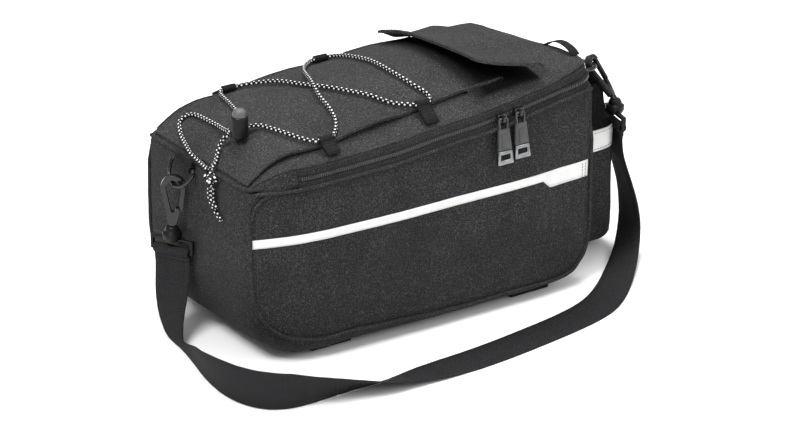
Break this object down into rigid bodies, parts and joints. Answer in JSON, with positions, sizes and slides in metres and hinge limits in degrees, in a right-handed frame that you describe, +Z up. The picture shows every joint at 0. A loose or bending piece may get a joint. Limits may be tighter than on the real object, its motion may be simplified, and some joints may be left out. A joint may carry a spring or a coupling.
{
  "type": "bicycle rack bag",
  "caption": "Padded wedge-shaped bicycle carrier bag with a zipped lid, elastic lacing, a hand flap, an end pocket and a hooked-on shoulder strap lying beside it.",
  "frame": {"origin": "middle of the bag's flat bottom panel, on its underside", "axes": "+X along the bag from its low end to its tall end with the pocket, +Y away from the side seen in the picture, +Z up"},
  "size_m": [0.5353, 0.316, 0.2493],
  "materials": {
    "heather": "charcoal heather weave",
    "lid_fabric": "lighter charcoal weave",
    "binding": "dark zip tape and elastic mesh",
    "webbing": "dark woven webbing",
    "reflective": "light reflective tape",
    "cord": "black elastic cord with light flecks",
    "gun_metal": "dark glossy plated metal",
    "plastic": "black moulded plastic",
    "button": "mid grey moulded plastic",
    "bright_metal": "grey metal"
  },
  "bodies": {
    "bag": {"ring_tab_low": "webbing", "d_ring_low": "gun_metal", "snap_hook_low": "gun_metal", "strap_frame_low": "plastic", "ring_tab_tall": "webbing", "d_ring_tall": "gun_metal", "snap_hook_tall": "gun_metal", "strap_frame_tall": "plastic", "body_shell": "heather", "side_piping_near": "heather", "panel_welt_near": "heather", "side_stripe_near": "reflective", "band_hinge_near": "heather", "side_piping_far": "heather", "panel_welt_far": "heather", "side_stripe_far": "reflective", "band_hinge_far": "heather", "zip_tape_lower": "binding", "zip_coil": "binding", "zip_tape_upper": "binding", "lid_shell": "lid_fabric", "lacing_panel": "lid_fabric", "access_flap": "lid_fabric", "grab_loop": "webbing", "pocket_body": "heather", "pocket_band": "reflective", "pocket_collar": "binding", "rack_strap_low": "webbing", "rack_strap_tall": "webbing", "shoulder_strap": "webbing", "lacing_loop_near_low": "webbing", "lacing_loop_near_tall": "webbing", "lacing_loop_far_low": "webbing", "lacing_loop_far_tall": "webbing", "lacing_cord": "cord", "loop_cord_near": "cord", "loop_cord_far": "cord", "cord_knot": "cord", "cord_tail_long": "cord", "cord_tail_short": "cord", "lock_barrel": "plastic", "zip_slider_left": "bright_metal", "zip_slider_right": "bright_metal"},
    "pull_left": {"zip_pull_left": "plastic", "pull_tip_left": "bright_metal"},
    "pull_right": {"zip_pull_right": "plastic", "pull_tip_right": "bright_metal"},
    "gate_low": {"snap_gate_low": "gun_metal"},
    "gate_tall": {"snap_gate_tall": "gun_metal"},
    "button": {"lock_button": "button"}
  },
  "joints": [
    {"name": "pull_left_swing", "type": "hinge", "parent": "bag", "child": "pull_left", "pos_m": [0.08, -0.11016, 0.19202], "axis": [-1, 0, 0], "range_deg": [0, 150]},
    {"name": "pull_right_swing", "type": "hinge", "parent": "bag", "child": "pull_right", "pos_m": [0.1, -0.11016, 0.19435], "axis": [-1, 0, 0], "range_deg": [0, 150]},
    {"name": "gate_low_swing", "type": "hinge", "parent": "bag", "child": "gate_low", "pos_m": [-0.20148, 0.0141, 0.12412], "axis": [-0.5631, -0.8261, -0.0218], "range_deg": [0, 15], "stiffness_Nm_per_rad": 0.02},
    {"name": "gate_tall_swing", "type": "hinge", "parent": "bag", "child": "gate_tall", "pos_m": [0.26929, -0.02744, 0.16865], "axis": [0.468, -0.7641, 0.4441], "range_deg": [0, 15], "stiffness_Nm_per_rad": 0.02},
    {"name": "button_press", "type": "slide", "parent": "bag", "child": "button", "axis": [0, 0, -1], "range_m": [0, 0.004], "stiffness_N_per_m": 400}
  ]
}
